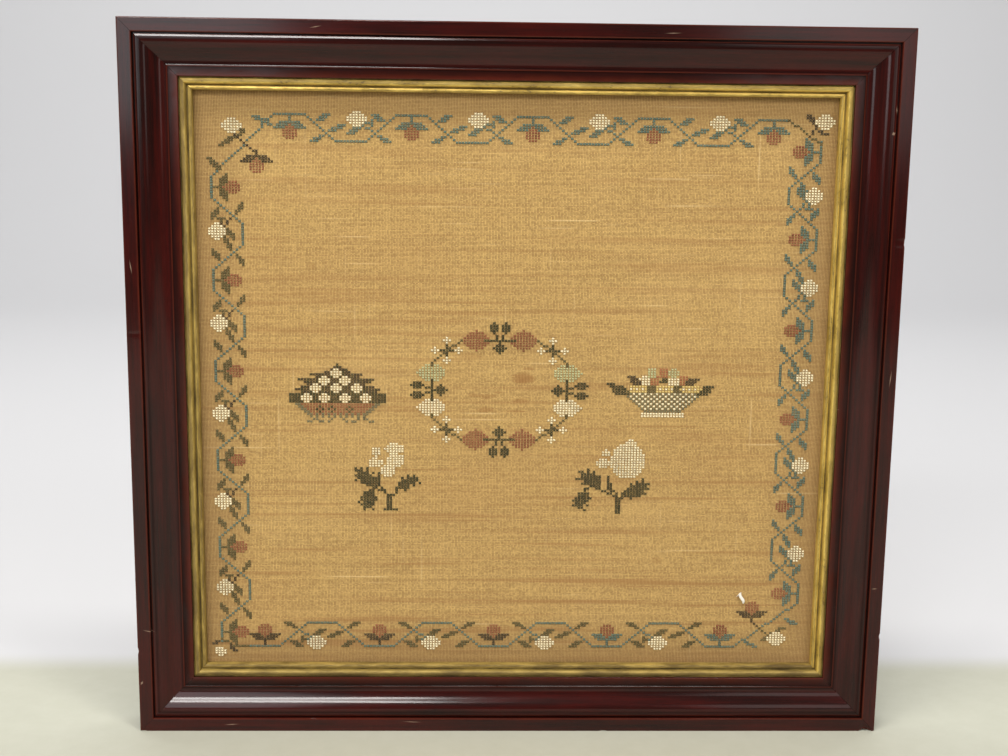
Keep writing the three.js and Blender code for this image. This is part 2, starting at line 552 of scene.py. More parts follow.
def colours():
    return bpy.context.scene.sampler_colours


def sizes():
    return bpy.context.scene.sampler_sizes


def mahogany_finish():
    """Straight-grained, polished mahogany with pores and ribbon figure, worn, crazed and dusty."""
    shown = colours()
    wood = Finish("mahogany_polish", coat_roughness=0.13, coat_ior=1.5, specular_ior_level=0.04)
    grain, place = wood.attribute("along_grain", "Vector"), wood.place()
    broad = wood.noise(grain, (9, 55, 30), detail=3, twist=0.4)
    streaks = wood.noise(grain, (14, 420, 260), detail=4, rough=0.62)
    fine = wood.noise(grain, (60, 2300, 1500))
    pores = wood.noise(grain, (170, 3600, 2600), detail=1).step(0.62, 0.72)
    ribbon = wood.noise(grain, (34, 26, 12), (5, 2, 9), twist=1.2)
    tone = broad * 0.42 + streaks * 0.42 + fine * 0.16
    shade = tone.step(0.36, 0.66) + ribbon * 0.25 - 0.12
    patchy = wood.noise(grain, (40, 90, 90), (3, 1, 4), detail=4, rough=0.65)
    rub = (wood.attribute("worn") * (patchy * 1.5 + 0.25) - 0.32).step(0.0, 0.6)
    dirt = (wood.attribute("grime") * (patchy + 0.55)).clamp()
    marks = polish_marks(wood, place)
    crazed = wood.node("TexVoronoi", {"feature": "DISTANCE_TO_EDGE"}, {
        "Vector": wood.stretched(grain, (260, 520, 520)), "Scale": 1.0})
    crazing = 1 - crazed.step(0.0, 0.06)
    dust = wood.noise(place, 900).step(0.60, 0.74)
    wood.set("Base Color", wood.coats(
        shown.mahogany_dark, (shown.mahogany, shade.clamp()), ((20, 6, 4), pores * 0.55),
        ((104, 44, 26), rub * 0.35), ((12, 6, 4), dirt * 0.85), ((176, 150, 128), marks * 0.5)))
    wood.set("Roughness", (0.34 + patchy * 0.16 + rub * 0.18 + dirt * 0.3 + dust * 0.08).clamp())
    wood.set("Coat Weight", (0.62 - rub * 0.3 - dirt * 0.5 - marks * 0.5 - dust * 0.12).clamp())
    wood.bump(streaks * 0.35 + fine * 0.25 - pores * 0.5 - crazing * 0.12, 0.00009, 0.6)
    return wood.material


def gilding_finish():
    """Old gilding: rubbed through to its bole, foxed, scuffed and dirty in its hollows, with painted
    shade over the darkened sides and a painted highlight on its worn crests.
    """
    shown = colours()
    gilt = Finish("aged_gilding")
    grain, worn = gilt.attribute("along_grain", "Vector"), gilt.attribute("worn")
    cloud = gilt.noise(grain, (45, 160, 160), detail=5, rough=0.66)
    scuff = gilt.noise(grain, (150, 900, 900), (1, 4, 2), detail=4, rough=0.7)
    speck = gilt.noise(grain, (420, 800, 800), (6, 1, 3))
    foxing = (speck * 0.6 + cloud * 0.4).step(0.55, 0.66)
    rub = (worn * 0.55 + scuff * 0.9 + cloud * 0.35 - 0.62).step(0.12, 0.55)
    # On the bottom and left slips the grime also carries painted shade, so dirt here is real grime
    # plus painted shade.
    dirt = (gilt.attribute("grime") * (cloud * 1.4 + 0.25)).clamp()
    gilt.set("Base Color", gilt.coats(
        shown.gilding, ((176, 146, 62), cloud.step(0.35, 0.7)),
        # (240, 214, 128) on the scuffed, worn crests is burnish wear with a painted highlight.
        ((240, 214, 128), (scuff * worn).step(0.35, 0.6) * 0.5), (shown.bole, rub * 0.62),
        ((54, 38, 14), (foxing * 0.6).most(dirt * 0.9))))
    gilt.set("Metallic", (0.45 - rub * 0.2 - dirt * 0.4 - foxing * 0.3).clamp())
    gilt.set("Roughness", (0.34 + cloud * 0.16 + rub * 0.15 + dirt * 0.25).clamp())
    gilt.bump(scuff * 0.5 + speck * 0.3 + cloud * 0.5, 0.00022, 0.7)
    return gilt.material


# Section points, in millimetres, that hands and dusters wear and that dirt gathers in
RAIL_WORN = [(0.3, 0.3), (STRIP_WIDTH - 0.3, 0.3), (FILLET_START, FILLET_DROP), (BEAD_END - 0.7, 6.2),
             (RAIL_WIDTH - 0.3, BAND_DROP + 0.3), (0.0, DEPTH / MM)]
RAIL_GRIME = [(STRIP_WIDTH + 0.5, QUIRK_DROP), (OGEE_START + 0.4, FILLET_DROP + 0.1),
              (OGEE_END - 0.4, OGEE_DROP), (BEAD_END + 0.3, BAND_DROP), (RAIL_WIDTH, LIP_BACK)]
SLIP_WORN = [(35.9, 7.75), (36.7, 7.6), (SIGHT_EDGE - 0.7, LIP_DROP + 0.1)]
SLIP_GRIME = [(ROLL_END + 0.4, CHANNEL_DROP), (ROLL_START + 0.2, TONGUE_DROP)]


def add_mouldings(kind, word, section, marks, worn, grime, waver, look, smooth, side_shade):
    """Builds one kind of moulding for the four sides; side_shade is painted shade laid all over a side
    through its grime.
    """
    slot, material = look
    for side in SIDES:
        mesh, local = moulding(side, section, marks, waver)
        side_shade_share = side_shade.get(side, 0.0)
        point_values(mesh, "worn", closeness(local, worn, 0.75))
        # The grime attribute holds the real grime in the hollows plus the side's painted shade.
        point_values(mesh, "grime", closeness(local, grime, 0.6) * (1 - side_shade_share) + side_shade_share)
        dressed(mesh, f"{kind}_{side}_{word}", material, slot, (f"{kind}_{side}",), smooth)


class SAMPLER_OT_rails(bpy.types.Operator):
    """Builds the four mitred mahogany rails"""

    bl_idname = "sampler.rails"
    bl_label = "Mahogany rails"

    def execute(self, context):
        look = ("mahogany", mahogany_finish())
        add_mouldings("rail", "polished", RAIL_CORNERS, KNOCKS, RAIL_WORN, RAIL_GRIME,
                      sizes().waver, look, 14, {})
        return {"FINISHED"}


class SAMPLER_OT_slips(bpy.types.Operator):
    """Builds the four gilt slips inside the rails"""

    bl_idname = "sampler.slips"
    bl_label = "Gilt slips"

    def execute(self, context):
        look = ("gilding", gilding_finish())
        # The bottom and left slips are darkened all over: painted shade, laid in through their grime.
        add_mouldings("slip", "gilt", SLIP_CORNERS, BRUISES, SLIP_WORN, SLIP_GRIME,
                      sizes().waver * 0.5, look, 30, {"bottom": 0.7, "left": 0.55})
        return {"FINISHED"}


# The design is charted here by rules on the counted grid, from the linen's middle

class Chart:
    """Crosses on the counted grid: (column, row) to the name of a thread."""

    def __init__(self, crosses, column=0, row=0):
        self.crosses = crosses
        self.column = column
        self.row = row

    def moved(self, column, row):
        """The same cloth, counted from another cross."""
        return Chart(self.crosses, self.column + column, self.row + row)

    def put(self, column, row, thread):
        self.crosses[round(self.column + column), round(self.row + row)] = thread

    def spans(self, spans, thread):
        """Rows of crosses, each given as first, last and row."""
        for first, last, row in spans:
            for column in range(first, last + 1):
                self.put(column, row, thread)

    def line(self, points, thread):
        """One cross thick, along straight or stepped lines."""
        for (c0, r0), (c1, r1) in zip(points, points[1:]):
            steps = max(abs(c1 - c0), abs(r1 - r0), 1)
            for step in range(round(steps) + 1):
                t = step / steps
                self.put(c0 + (c1 - c0) * t, r0 + (r1 - r0) * t, thread)

    def oval(self, column, row, across, up, thread, power):
        for c in range(round(column - across), round(column + across) + 1):
            for r in range(round(row - up), round(row + up) + 1):
                x, y = abs(c - column) / (across + 0.3), abs(r - row) / (up + 0.3)
                if x**power + y**power <= 1:
                    self.put(c, r, thread)

    def leaf(self, stem, tip, width, thread):
        """A pointed leaf from its stem to its tip, with its widest part nearer the stem."""
        (c0, r0), (ux, uy, long) = stem, heading(stem, tip)
        reach = math.ceil(long + width)
        for c in range(round(c0) - reach, round(c0) + reach + 1):
            for r in range(round(r0) - reach, round(r0) + reach + 1):
                along = ((c - c0) * ux + (r - r0) * uy) / long
                aside = abs((c - c0) * uy - (r - r0) * ux)
                wide = width / 2 * leaf_swell(max(along, 0.0)) + 0.35
                if -0.02 <= along <= 1.02 and aside <= wide:
                    self.put(c, r, thread)

    def lobed(self, stem, tip, width, lobes, thread="moss"):
        """A toothed leaf: pairs of small lobes slanting off a narrower leaf."""
        (c0, r0), (c1, r1), (ux, uy, _) = stem, tip, heading(stem, tip)
        self.leaf(stem, tip, width * 0.8, thread)
        for lobe in range(lobes):
            t = (lobe + 0.4) / lobes * 0.85
            reach = width * 0.4 * leaf_swell(max(t, 0.1)) + 1.1
            c, r = c0 + (c1 - c0) * t, r0 + (r1 - r0) * t
            for side in (-1, 1):
                out = (c + reach * (ux * 0.5 - side * uy), r + reach * (uy * 0.5 + side * ux))
                self.line([(c, r), out], thread)


def heading(stem, tip):
    """The direction from the stem to the tip, and the length."""
    long = math.hypot(tip[0] - stem[0], tip[1] - stem[1])
    return (tip[0] - stem[0]) / long, (tip[1] - stem[1]) / long, long


def leaf_swell(along):
    """A leaf's width along it, as a share of its widest."""
    return math.sin(math.pi * min(along, 1.2) ** 0.72)


# The border's strawberry, leaves and bud on the vine's own grid: s along, t outwards
STEM = [(0, 0, -1), (0, 0, -2)]
CALYX = [(-3, 3, -3), (-4, -1, -4), (1, 4, -4), (-5, -2, -5), (2, 5, -5)]
BERRY = [(0, 0, -4), (-1, 1, -5), (-2, 2, -6), (-2, 2, -7), (-2, 2, -8), (-1, 1, -9)]
BUD = [(-1, 1, 3), (-2, 2, 2), (-3, 3, 1), (-3, 3, 0), (-2, 2, -1), (-1, 1, -2)]
OUTER_LEAF = [(4, 6, -2), (5, 7, -1), (6, 8, 0)]
INNER_LEAF = [(5, 6, -8), (3, 5, -9), (2, 4, -10)]
NEXT_LEAF = [(8, 10, -6), (9, 12, -5), (11, 13, -4)]
BUD_TWIG = [(8, 8, -6), (9, 10, -5), (11, 11, -4), (10, 10, -3)]
BUD_TIP = [(8, 8, -2), (8, 9, -3), (8, 8, -4)]
BUD_LEAF = [(12, 14, -5), (13, 15, -6), (14, 16, -7)]
DEPTH_OF_VINE = 10


class Vine:
    """One side of the border, run anticlockwise, with the threads that side was worked in."""

    def __init__(self, chart, place, run, threads):
        self.chart = chart
        self.place = place
        self.run = run
        self.threads = threads

    def spans(self, spans, part, centre, flip=1, shift=0):
        for first, last, t in spans:
            for s in range(first + shift, last + shift + 1):
                self.chart.put(*self.place(centre + flip * s, t), self.threads[part])

    def strawberry(self, centre):
        for spans, part in ((STEM, "stem"), (CALYX, "calyx"), (BERRY, "berry")):
            self.spans(spans, part, centre)

    def line(self, points, part="vine"):
        self.chart.line([self.place(s, t) for s, t in points], self.threads[part])

    def unit(self, centre, period):
        """From a strawberry's run to the next one's, with the bud between them."""
        e, deep = self.run, DEPTH_OF_VINE
        start, end = centre + e, centre + period - e
        self.line([(start, 0), (start + deep, -deep)])
        self.line([(start + deep, -deep), (end - deep, -deep)], "run")
        self.line([(end - deep, -deep), (end, 0)])
        for spans, part in ((OUTER_LEAF, "leaf"), (INNER_LEAF, "leaf"), (BUD_TWIG, "twig"),
                            (BUD_TIP, "leaf"), (BUD_LEAF, "leaf")):
            self.spans(spans, part, centre, 1, e)
        for spans in (OUTER_LEAF, INNER_LEAF, NEXT_LEAF):
            self.spans(spans, "leaf", centre + period, -1, e)
        self.spans([(a, b, t - 2) for a, b, t in BUD], "bud", centre + e + 13)

    def side(self, centres):
        for centre in centres:
            self.line([(centre - self.run, 0), (centre + self.run, 0)], "run")
            self.strawberry(centre)
        for centre, following in zip(centres, centres[1:]):
            self.unit(centre, following - centre)


def border(chart):
    """The strawberry vine round all four sides, and its corners."""
    plain = {**dict.fromkeys(("run", "vine", "twig", "leaf", "calyx", "stem"), "teal"),
             "berry": "rose", "bud": "cream"}
    browned = {**plain, "calyx": "brown", "stem": "brown"}
    olive = {**plain, "leaf": "olive", "calyx": "olive", "stem": "olive", "twig": "brown"}
    bottom = Vine(chart, lambda s, t: (s, -108 - t), 5, {**browned, "leaf": "olive"})
    Vine(chart, lambda s, t: (-s, 106 + t), 5, plain).side([-85, -45, -5, 35, 75])
    Vine(chart, lambda s, t: (-101 - t, -s), 4, olive).side([-78, -42, -6, 30, 66, 102])
    bottom.side([-86, -46, -6, 34, 74])
    for centre in (34, 74):
        Vine(chart, bottom.place, 5, plain).strawberry(centre)
    Vine(chart, lambda s, t: (101 + t, s), 4, plain).side([-85, -48, -12, 24, 60, 94])
    # Top left: an inner strawberry and a bud on one crossing
    chart.line([(-80, 106), (-101, 82)], "teal")
    chart.line([(-86, 91), (-90, 95), (-93, 98)], "brown")
    chart.spans([(-95, -93, 97), (-96, -94, 96), (-97, -95, 95), (-98, -97, 94), (-92, -91, 98),
                 (-91, -90, 99), (-91, -90, 100)], "olive")
    chart.moved(-94, 101).spans(BUD, "cream")
    Vine(chart, lambda s, t: (-86 - s, 93 + t), 5, browned).strawberry(0)
    chart.spans([(-99, -98, 85), (-100, -98, 86), (-101, -99, 87), (-101, -100, 88), (-102, -101, 89)],
                "olive")
    chart.spans([(-82, -81, 102), (-84, -82, 103), (-86, -83, 104), (-87, -85, 105)], "teal")
    # Top right: a bud outside the turn
    chart.line([(90, 106), (101, 97)], "olive")
    chart.line([(97, 100), (99, 103)], "brown")
    chart.spans([(99, 100, 104), (98, 99, 105), (97, 99, 106), (96, 98, 107), (96, 97, 108),
                 (100, 101, 102), (101, 102, 101), (103, 103, 101)], "brown")
    chart.moved(102, 105).spans(BUD, "cream")
    # Bottom right: a strawberry inside the turn and a bud outside it
    chart.line([(79, -108), (101, -89)], "teal")
    chart.line([(88, -100), (85, -97)], "brown")
    Vine(chart, lambda s, t: (85 + s, -98 - t), 5, browned).strawberry(0)
    chart.line([(88, -100), (91, -103)], "olive")
    chart.spans([(91, 92, -103), (90, 92, -104), (89, 90, -105), (92, 93, -102), (94, 95, -101),
                 (95, 97, -100)], "olive")
    chart.moved(94, -105).spans(BUD, "cream")
    chart.spans([(97, 98, -96), (98, 100, -97), (99, 101, -98), (83, 84, -106), (84, 86, -107),
                 (86, 87, -108)], "teal")
    # Bottom left: the vine runs round a bud in the very corner
    chart.line([(-101, -105), (-97, -108), (-92, -108)], "olive")
    chart.spans([(-98, -98, -108), (-98, -97, -109), (-97, -96, -110)], "brown")
    chart.spans([(-103, -101, -109), (-103, -100, -110), (-103, -100, -111), (-102, -101, -112)],
                "cream")
    chart.spans([(-104, -103, -107), (-103, -102, -106)], "brown")


def flower_basket(chart):
    """A pyramid of leaves set with cream flowers, on a footed bowl, counted from the leaves' tip."""
    edges = [(0, 0), (1, 1), (2, 3), (4, 4), (9, 8), (7, 7), (13, 12), (11, 11), (10, 9), (12, 12),
             (14, 14), (12, 13)]
    for drop, (left, right) in enumerate(edges):
        for c in range(-left, right + 1):
            chart.put(c, -drop, "moss" if (c * 2 + drop) % 7 < 2 else "brown")
    chart.spans([(-16, 16, -12 - k) for k in range(4)], "moss")
    for k, wide in enumerate((14, 13, 12, 11, 10)):
        for c in range(-wide, wide + 1):
            edge = abs(c) > wide - 2 or (k == 4 and c % 2)
            chart.put(c, -16 - k, "slate" if edge else "rose")
    for c in (-6, -2, 4):
        chart.spans([(c, c, -17), (c - 1, c - 1, -18), (c + 1, c + 1, -18), (c, c, -19)], "moss")
    chart.spans([(c, c, -21) for c in range(-9, 10, 2)], "slate")
    for start, end in ((-8, -10), (-7, -5), (-2, -3), (2, 3), (7, 5), (9, 12)):
        chart.line([(start, -22), (end, -23)], "slate")
    for row, places in ((-3, (0,)), (-6, (-4, 3)), (-9, (-7, 0, 7)), (-13, (-10, -4, 3, 10))):
        for c in places:
            chart.moved(c, row).spans([(-1, 0, 1), (-2, 1, 0), (-2, 1, -1), (-1, 0, -2)], "cream")


def fruit_basket(chart):
    """A lattice bowl heaped with fruit and leaves, counted from the bowl's top row."""
    for k in range(7):
        for c in range(k - 13, 14 - k):
            pale = abs(c) <= 12 - k and (c + k) % 2 == 0
            chart.put(c, -k, "cream" if pale else "slate")
    chart.spans([(-6, 6, -7)], "slate")
    chart.spans([(-7, 7, -8), (-7, 7, -9)], "cream")
    chart.leaf((-12, 0), (-19, 4), 3.2, "moss")
    chart.leaf((12, 0), (17, 3), 2.6, "moss")
    chart.spans([(-17, -17, 4), (-14, -14, 3), (-16, -16, 0), (14, 14, 3), (16, 16, 1)], "moss")
    chart.spans([(-12, 12, 1), (-11, 11, 2), (-10, 10, 3)], "olive")
    for middle, wide in ((-8.5, 3), (0.5, 3), (9.5, 3.4)):
        chart.oval(middle, 2, wide, 1.2, "straw", 3)
        for c in (-2, 0, 2):
            chart.put(middle + c, 2, "cream")
    for middle, thread in ((-6.5, "cream"), (-3, "rust"), (3.5, "cream"), (7, "rust")):
        chart.oval(middle, 5.2, 1.7, 1.7, thread, 3)
    chart.leaf((-8, 4), (-12, 7), 2.6, "brown")
    chart.leaf((8, 4), (12, 6), 2.2, "brown")
    chart.spans([(-1, 1, 5), (0, 1, 6)], "moss")
    for middle, thread in ((-4, "sage"), (0, "rust"), (3.5, "sage")):
        chart.oval(middle, 8.4, 1.6, 1.4, thread, 3)


def wreath(chart):
    """Eight roses on a ring of twigs, with a three-leaved spray at each quarter."""
    for sign in (-1, 1):
        for side in (-1, 1):
            ring = [(13 * side, 20 * sign), (18 * side, 16 * sign), (23 * side, 11 * sign)]
            chart.line(ring, "olive")
            rose(chart.moved(8 * side, 20 * sign), "rose")
            chart.moved(8 * side, 20 * sign).spans([(0, 0, 4), (0, 0, -4)], "rose")
        chart.line([(-5, 20 * sign), (5, 20 * sign)], "moss")
        for side in (-2, 2):
            chart.line([(0, 20 * sign), (side, 23 * sign)], "moss")
            chart.spans([(side - a, side + a, sign * (24 + k))
                         for k, a in enumerate((1, 1, 1, 0))], "moss")
        chart.spans([(-a, a, sign * (19 - k)) for k, a in enumerate((0, 1, 2, 1, 0))], "moss")
        for thread, up in (("sage", 7), ("cream", -7)):
            rose(chart.moved(23 * sign, up), thread)
            chart.put(28 * sign, up, thread)
        chart.line([(23 * sign, -4), (23 * sign, 4)], "moss")
        for up in (2, -2):
            chart.line([(23 * sign, 0), (26 * sign, up)], "moss")
            chart.moved(28 * sign, up).spans([(-1, 1, -1), (-2, 2, 0), (-1, 1, 1)], "moss")
        for k, a in enumerate((0, 1, 2, 1, 0)):
            for r in range(-a, a + 1):
                chart.put((22 - k) * sign, r, "moss")
        for side in (-1, 1):
            spray(chart.moved(18 * side, 16 * sign))
    for column in (-23, 23):
        chart.spans([(column, column, row) for row in (-11, -10, 10, 11)], "olive")


def rose(chart, thread):
    """A round flower about its middle."""
    for up, wide in enumerate((4, 4, 3, 2)):
        chart.spans([(-wide, wide, up), (-wide, wide, -up)], thread)


def spray(chart):
    """Four small leaves about a crossing, each with a pale starry flower at its tip."""
    for a, b in ((0, 1), (0, -1), (1, 0), (-1, 0)):
        for c, r in ((1, 0), (2, 0), (3, 0), (4, 0), (5, 0), (4, 1), (4, -1)):
            chart.put(a * c + b * r, b * c + a * r, "moss" if c < 3 else "cream")


def left_sprig(chart):
    """An open rose over a short stem with three toothed leaves, counted from the stem's foot."""
    chart.spans([(-2, 2, 0), *((-1, 0, k) for k in range(1, 6)), (-1, 1, 6)], "moss")
    chart.line([(1, 6), (3, 9)], "moss")
    chart.lobed((2, 9), (10, 13.5), 3.2, 4)
    chart.line([(-1, 6), (-4, 10), (-4, 15)], "moss")
    chart.line([(-1, 6), (-6, 10)], "moss")
    chart.lobed((-5, 10), (-12.5, 17), 4.6, 4)
    chart.line([(-6, 9), (-6, 7)], "moss")
    chart.lobed((-6.5, 8), (-9, 0), 4.6, 4)
    for petal in ((1.1, 24.9, 3.0, 1.9), (1.8, 20.1, 2.8, 2.4), (-1, 15.8, 2.1, 2.4),
                  (-5.1, 23.7, 1.5, 1.5), (-5.1, 19.3, 2.5, 1.5)):
        chart.oval(*petal, "cream", 2.2)


def right_sprig(chart):
    """A full round rose and two loose petals over a stem with three leaves."""
    chart.spans([(0, 1, k) for k in range(6)], "moss")
    chart.line([(1, 6), (-2, 10), (-3, 15), (-3, 10), (0, 6)], "moss")
    chart.line([(-1, 7), (-8, 11), (-11, 10)], "moss")
    chart.line([(1, 5), (3, 8)], "moss")
    chart.lobed((2, 7), (11.5, 12.5), 5.0, 4)
    chart.lobed((-6, 11), (-13, 17), 5.6, 3)
    chart.lobed((-10.5, 9), (-13.5, 1), 4.6, 4)
    for petal in ((3.6, 21.4, 5.5, 7.0, 2.3), (4.4, 28.6, 1.6, 1.4, 2.0), (-5.0, 20.4, 2.0, 2.0, 2.2),
                  (-4.0, 24.6, 1.2, 1.2, 2.0)):
        chart.oval(*petal[:4], "cream", petal[4])


def sampler_chart():
    chart = Chart({})
    border(chart)
    flower_basket(chart.moved(-60, 9))
    fruit_basket(chart.moved(51, -2))
    wreath(chart.moved(-5, -1))
    left_sprig(chart.moved(-42, -50))
    right_sprig(chart.moved(36, -51))
    return chart.crosses


# The linen browns towards the frame, as far out as this from its middle, in metres
BROWNED_ACROSS, BROWNED_UP = 0.198, 0.1836
# Stains on the linen: middle, half width and half height in millimetres, and strength
STAINS = [
    (5.5, 231.9, 8.4, 5.0, 0.75), (5.5, 230.6, 4.0, 2.6, 0.9), (9.5, 238.0, 4.5, 1.1, 0.6),
    (-19.9, 220.4, 11, 1.4, 0.55), (-26.2, 220.7, 3.4, 1.8, 0.5), (-17.5, 219.6, 4.0, 1.9, 0.5),
    (-18.3, 211.6, 6.5, 2.4, 0.55), (3.9, 217.2, 6.5, 1.8, 0.55), (1.5, 210.5, 8.0, 1.0, 0.55),
    (-28.6, 246.0, 11, 2.2, 0.35), (-10.4, 222.8, 4.0, 1.0, 0.5), (92.8, 201.2, 38, 0.9, 0.5),
    (-127.0, 302.0, 3.0, 2.2, 0.4), (94.5, 112.0, 4.0, 3.0, 0.35),
]


def linen_finish():
    """Hand-woven linen: separate threads over and under, slubs, browning, streaks and stains, with
    shade painted between the threads and a highlight painted on their crowns.
    """
    shown = colours()
    linen = Finish("aged_linen", roughness=0.9, sheen_weight=0.12)
    place = linen.place()
    x, _, z = linen.split(place)
    warp = x / WARP_PITCH + linen.noise(place, (16, 1, 5)) * 3.0
    weft = z / WEFT_PITCH + linen.noise(place, (5, 1, 16), (7, 0, 3)) * 3.0
    warp_id, weft_id = warp.floor(), weft.floor()
    warp_wide = linen.noise(linen.join(warp_id * 7.31, z * 30), detail=1)
    weft_wide = linen.noise(linen.join(x * 30, weft_id * 5.17), detail=1)
    across_warp = warp.part() * 2 - 1
    across_weft = weft.part() * 2 - 1
    warp_body = 1 - across_warp * across_warp * (1.2 - warp_wide * 0.8)
    weft_body = 1 - across_weft * across_weft * (1.35 - weft_wide * 0.8)
    warp_lift = warp_body * (0.6 + (weft * math.pi + (warp_id * math.pi - math.pi / 2)).cos() * 0.4)
    weft_lift = weft_body * (0.6 - (warp * math.pi + (weft_id * math.pi - math.pi / 2)).cos() * 0.4)
    height = warp_lift.most(weft_lift)
    weft_on_top = (weft_lift - warp_lift).step(-0.08, 0.08)
    warp_tone = linen.noise(linen.join(warp_id * 3.7, z * 9, 4.0))
    weft_tone = linen.noise(linen.join(x * 9, weft_id * 2.9, 9.0))
    tone = warp_tone + (weft_tone * 3.0 - 1.0 - warp_tone) * weft_on_top
    slub = linen.noise(linen.join(x * 14, weft_id * 0.83, 2.0), detail=1).step(0.68, 0.80)
    slub_up = linen.noise(linen.join(warp_id * 0.91, z * 12, 6.0), detail=1).step(0.70, 0.80)
    cloudy = linen.noise(place, (7, 1, 9), detail=4, rough=0.6)
    streak = linen.noise(place, (5, 1, 210), (2, 0, 1), detail=3, rough=0.6)
    low_down = 1 - ((z - 0.06) / 0.30).clamp()
    edge = (abs(x) / BROWNED_ACROSS).most(abs(z - HEIGHT / 2) / BROWNED_UP) + (cloudy - 0.5) * 0.14
    fleck = linen.random(linen.join(warp_id, weft_id, 3.0))
    thread_tone = (tone + fleck - 0.46).clamp()
    linen.set("Base Color", linen.coats(
        shown.linen_brown,
        (shown.linen, thread_tone * 0.75 + 0.25),
        ((232, 202, 146), slub.most(slub_up * 0.8) * 0.45),
        ((214, 176, 112), (cloudy - 0.52).clamp() * 1.4),
        ((160, 112, 58), (0.50 - cloudy).clamp() * 1.1),
        ((150, 104, 50), streak.step(0.50, 0.68) * (0.38 + low_down * 0.5)),
        ((122, 88, 42), edge.step(0.80, 1.02) * 0.72),
        ((138, 88, 30), stain_mask(linen, x, z)),
        # The last two coats are painted light: shade in the low places between the threads, and a
        # highlight on their crowns.
        ((64, 42, 20), (1 - height.step(0.16, 0.56)) * 0.85),
        ((236, 204, 146), (height - 0.62).clamp() * 0.9)))
    linen.bump(height + slub * 0.3, sizes().weave_depth, 0.8)
    return linen.material


def stain_mask(linen, x, z):
    """The stains' strength on the linen, each stain ragged at its edge."""
    ragged = linen.noise(linen.join(x * 60, z * 900), detail=3) - 0.5
    masks = []
    for across, up, wide, high, strength in STAINS:
        u, v = (x - across * MM) / (wide * MM), (z - up * MM) / (high * MM)
        masks.append((1 - (u * u + v * v + ragged * 1.6).step(0.1, 1.1)) * strength)
    return reduce(Value.most, masks).clamp()


LINEN_FRONT = (SLIP_BACK + FITTING_GAP) * MM - DEPTH / 2
LINEN_THICKNESS = 0.9 * MM
LINEN_PROUD = 0.12 * MM
LINEN_CELLS = (130, 120)
# The threads in the order they are worked, those worked finer, and a strand's make
THREADS = ("teal", "olive", "moss", "brown", "cream", "rose", "rust", "sage", "straw", "slate")
FINE_THREADS = ("cream", "rose", "rust", "sage", "straw")
STRAND_SIDES = 5
STRAND_REACH = 0.90
FINE_REACH = 0.78
STRAND_PINCH = 0.45
STRAND_DIVE = -0.16 * MM
UNDER_LIFT = 0.18 * MM
OVER_LIFT = 0.26 * MM
OVER_CROWN = 0.26 * MM
STRAND_TURNS = 15.0
# The spread of each random draw for a stitch
TONE_SPREAD = 0.16
NUDGE_SPREAD = 0.045 * MM
LEAN_SPREAD = 0.035
REACH_SPREAD = 0.025
WIDTH_SPREAD = 0.1
HOLE_SPREAD = 0.14
HOLE_NUDGE = 0.03 * MM
HOLE_DEPTH = 0.12 * MM


def linen_ripple(x, z):
    """How far the stretched linen stands proud or sinks, in metres, at a place on its face."""
    wave = noise.noise((x * 9, z * 9, 3.0)) + 0.5 * noise.noise((x * 22, z * 26, 8.0))
    return wave * 0.11 * MM


class SAMPLER_OT_linen(bpy.types.Operator):
    """Builds the stretched linen ground"""

    bl_idname = "sampler.linen"
    bl_label = "Linen ground"

    def execute(self, context):
        low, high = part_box("linen")
        half = (high - low) / 2
        bm = bmesh.new()
        bmesh.ops.create_grid(bm, x_segments=LINEN_CELLS[0], y_segments=LINEN_CELLS[1], size=1.0)
        for vertex in bm.verts:
            x, z = vertex.co.x * half.x, vertex.co.y * half.z + HEIGHT / 2
            vertex.co = (x, LINEN_FRONT + linen_ripple(x, z), z)
        bmesh.ops.recalc_face_normals(bm, faces=bm.faces)
        bmesh.ops.solidify(bm, geom=bm.faces[:], thickness=LINEN_THICKNESS)
        ahead = min(v.co.y for v in bm.verts)
        bmesh.ops.translate(bm, verts=bm.verts, vec=(0, LINEN_FRONT - LINEN_PROUD - ahead, 0))
        dressed(meshed(bm, "linen_ground"), "linen_ground", linen_finish(), "linen", ("linen",), 60)
        return {"FINISHED"}


def on_linen(column, row):
    """A chart place in metres: across, up, and the linen's face there."""
    x, z = column * CROSS_WIDTH, row * CROSS_HEIGHT + HEIGHT / 2
    return x, z, LINEN_FRONT + linen_ripple(x, z)


def strand(width, height, rings, lift, crown):
    """One strand of a cross, lying along X from -0.5 to 0.5, its ends dipping into the cloth."""
    bm = rod(STRAND_SIDES, rings)
    bmesh.ops.rotate(bm, verts=bm.verts, matrix=Matrix.Rotation(math.pi / 2, 3, "Y"))
    bm.verts.index_update()
    lay = []
    for vertex in bm.verts:
        along, aside, up = vertex.co
        lay.append((aside * 2, up * 2, along))
        to_end = (2 * abs(along)) ** 2
        thin = 1 - STRAND_PINCH * to_end
        rise = STRAND_DIVE + (lift - STRAND_DIVE) * (1 - to_end)
        rise += crown * max(0.0, 1 - (along / 0.3) ** 2)
        vertex.co = (along, aside * width * thin, rise + up * height * thin)
    points = np.array([v.co[:] for v in bm.verts])
    faces = [[v.index for v in f.verts] for f in bm.faces]
    bm.free()
    return points, faces, np.array(lay)


